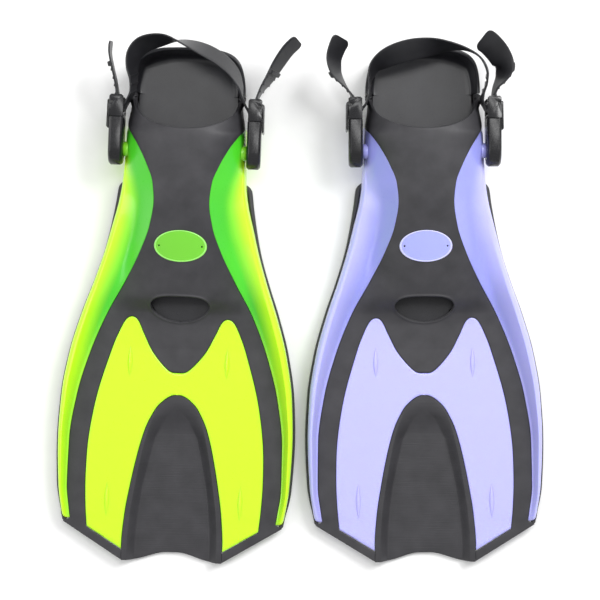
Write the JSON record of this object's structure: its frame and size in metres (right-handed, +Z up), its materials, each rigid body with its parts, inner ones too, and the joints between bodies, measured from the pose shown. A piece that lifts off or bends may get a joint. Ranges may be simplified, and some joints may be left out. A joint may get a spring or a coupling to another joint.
{
  "type": "swim fins",
  "caption": "Pair of short open-heel swim fins with rubber foot pockets, coloured blades, a scooped channel and adjustable heel straps on swivelling buckles.",
  "frame": {"origin": "on the floor, at the middle of the pair", "axes": "+Y from the blades to the heels, +X to the lavender fin, +Z up from the soles"},
  "size_m": [0.4334, 0.4686, 0.066],
  "materials": {
    "lime_plastic": "satin moulded, slightly translucent",
    "lime_badge": "satin moulded",
    "lavender_plastic": "satin moulded",
    "lavender_badge": "satin moulded",
    "charcoal_rubber": "matte, fine grain",
    "foot_bed_black": "smooth, glossy",
    "strap_rubber": "satin",
    "buckle_black": "gloss moulded",
    "pin_steel": "turned, dark"
  },
  "bodies": {
    "lime_fin": {"lime_blade": "lime_plastic", "lime_left_wing": "lime_plastic", "lime_right_wing": "lime_plastic", "lime_foot_pocket": "charcoal_rubber", "lime_foot_bed": "foot_bed_black", "lime_sole": "charcoal_rubber", "lime_deck_rubber": "charcoal_rubber", "lime_channel": "charcoal_rubber", "lime_left_edge": "charcoal_rubber", "lime_right_edge": "charcoal_rubber", "lime_badge": "lime_badge", "lime_left_post_cap": "buckle_black", "lime_right_post_cap": "buckle_black"},
    "lime_left_arm_body": {"lime_left_arm": "buckle_black"},
    "lime_right_arm_body": {"lime_right_arm": "buckle_black"},
    "lime_strap_body": {"lime_strap": "strap_rubber", "lime_left_frame": "buckle_black", "lime_right_frame": "buckle_black", "lime_left_pawl_pin": "pin_steel", "lime_right_pawl_pin": "pin_steel"},
    "lime_left_pawl_body": {"lime_left_pawl": "buckle_black"},
    "lime_right_pawl_body": {"lime_right_pawl": "buckle_black"},
    "lavender_fin": {"lavender_blade": "lavender_plastic", "lavender_left_wing": "lavender_plastic", "lavender_right_wing": "lavender_plastic", "lavender_foot_pocket": "charcoal_rubber", "lavender_foot_bed": "foot_bed_black", "lavender_sole": "charcoal_rubber", "lavender_deck_rubber": "charcoal_rubber", "lavender_channel": "charcoal_rubber", "lavender_left_edge": "charcoal_rubber", "lavender_right_edge": "charcoal_rubber", "lavender_badge": "lavender_badge", "lavender_left_post_cap": "buckle_black", "lavender_right_post_cap": "buckle_black"},
    "lavender_left_arm_body": {"lavender_left_arm": "buckle_black"},
    "lavender_right_arm_body": {"lavender_right_arm": "buckle_black"},
    "lavender_strap_body": {"lavender_strap": "strap_rubber", "lavender_left_frame": "buckle_black", "lavender_right_frame": "buckle_black", "lavender_left_pawl_pin": "pin_steel", "lavender_right_pawl_pin": "pin_steel"},
    "lavender_left_pawl_body": {"lavender_left_pawl": "buckle_black"},
    "lavender_right_pawl_body": {"lavender_right_pawl": "buckle_black"}
  },
  "joints": [
    {"name": "lime_strap_swing", "type": "hinge", "parent": "lime_fin", "child": "lime_left_arm_body", "pos_m": [-0.10065, 0.13019, 0.033], "axis": [0.9993, -0.0384, 0], "range_deg": [0, 100]},
    {"name": "lime_right_arm_swing", "type": "hinge", "parent": "lime_fin", "child": "lime_right_arm_body", "pos_m": [-0.10065, 0.13019, 0.033], "axis": [0.9993, -0.0384, 0], "range_deg": [0, 100]},
    {"name": "lime_strap_release", "type": "slide", "parent": "lime_left_arm_body", "child": "lime_strap_body", "axis": [0.0384, 0.9993, 0], "range_m": [0, 0.016]},
    {"name": "lime_left_pawl_lift", "type": "hinge", "parent": "lime_strap_body", "child": "lime_left_pawl_body", "pos_m": [-0.16347, 0.17263, 0.033], "axis": [0, 0, -1], "range_deg": [0, 25], "stiffness_Nm_per_rad": 0.02},
    {"name": "lime_right_pawl_lift", "type": "hinge", "parent": "lime_strap_body", "child": "lime_right_pawl_body", "pos_m": [-0.03476, 0.16769, 0.033], "axis": [0, 0, 1], "range_deg": [0, 25], "stiffness_Nm_per_rad": 0.02},
    {"name": "lavender_fin_lift", "type": "slide", "parent": "lime_fin", "child": "lavender_fin", "axis": [0, 0, 1], "range_m": [0, 0.3]},
    {"name": "lavender_strap_swing", "type": "hinge", "parent": "lavender_fin", "child": "lavender_left_arm_body", "pos_m": [0.10883, 0.13037, 0.033], "axis": [1, 0.007, 0], "range_deg": [0, 100]},
    {"name": "lavender_right_arm_swing", "type": "hinge", "parent": "lavender_fin", "child": "lavender_right_arm_body", "pos_m": [0.10883, 0.13037, 0.033], "axis": [1, 0.007, 0], "range_deg": [0, 100]},
    {"name": "lavender_strap_release", "type": "slide", "parent": "lavender_left_arm_body", "child": "lavender_strap_body", "axis": [-0.007, 1, 0], "range_m": [0, 0.016]},
    {"name": "lavender_left_pawl_lift", "type": "hinge", "parent": "lavender_strap_body", "child": "lavender_left_pawl_body", "pos_m": [0.04415, 0.16992, 0.033], "axis": [0, 0, -1], "range_deg": [0, 25], "stiffness_Nm_per_rad": 0.02},
    {"name": "lavender_right_pawl_lift", "type": "hinge", "parent": "lavender_strap_body", "child": "lavender_right_pawl_body", "pos_m": [0.17295, 0.17082, 0.033], "axis": [0, 0, 1], "range_deg": [0, 25], "stiffness_Nm_per_rad": 0.02}
  ],
  "couplings": [
    {"joint": "lime_right_arm_swing", "follows": "lime_strap_swing", "ratio": 1},
    {"joint": "lavender_right_arm_swing", "follows": "lavender_strap_swing", "ratio": 1}
  ]
}
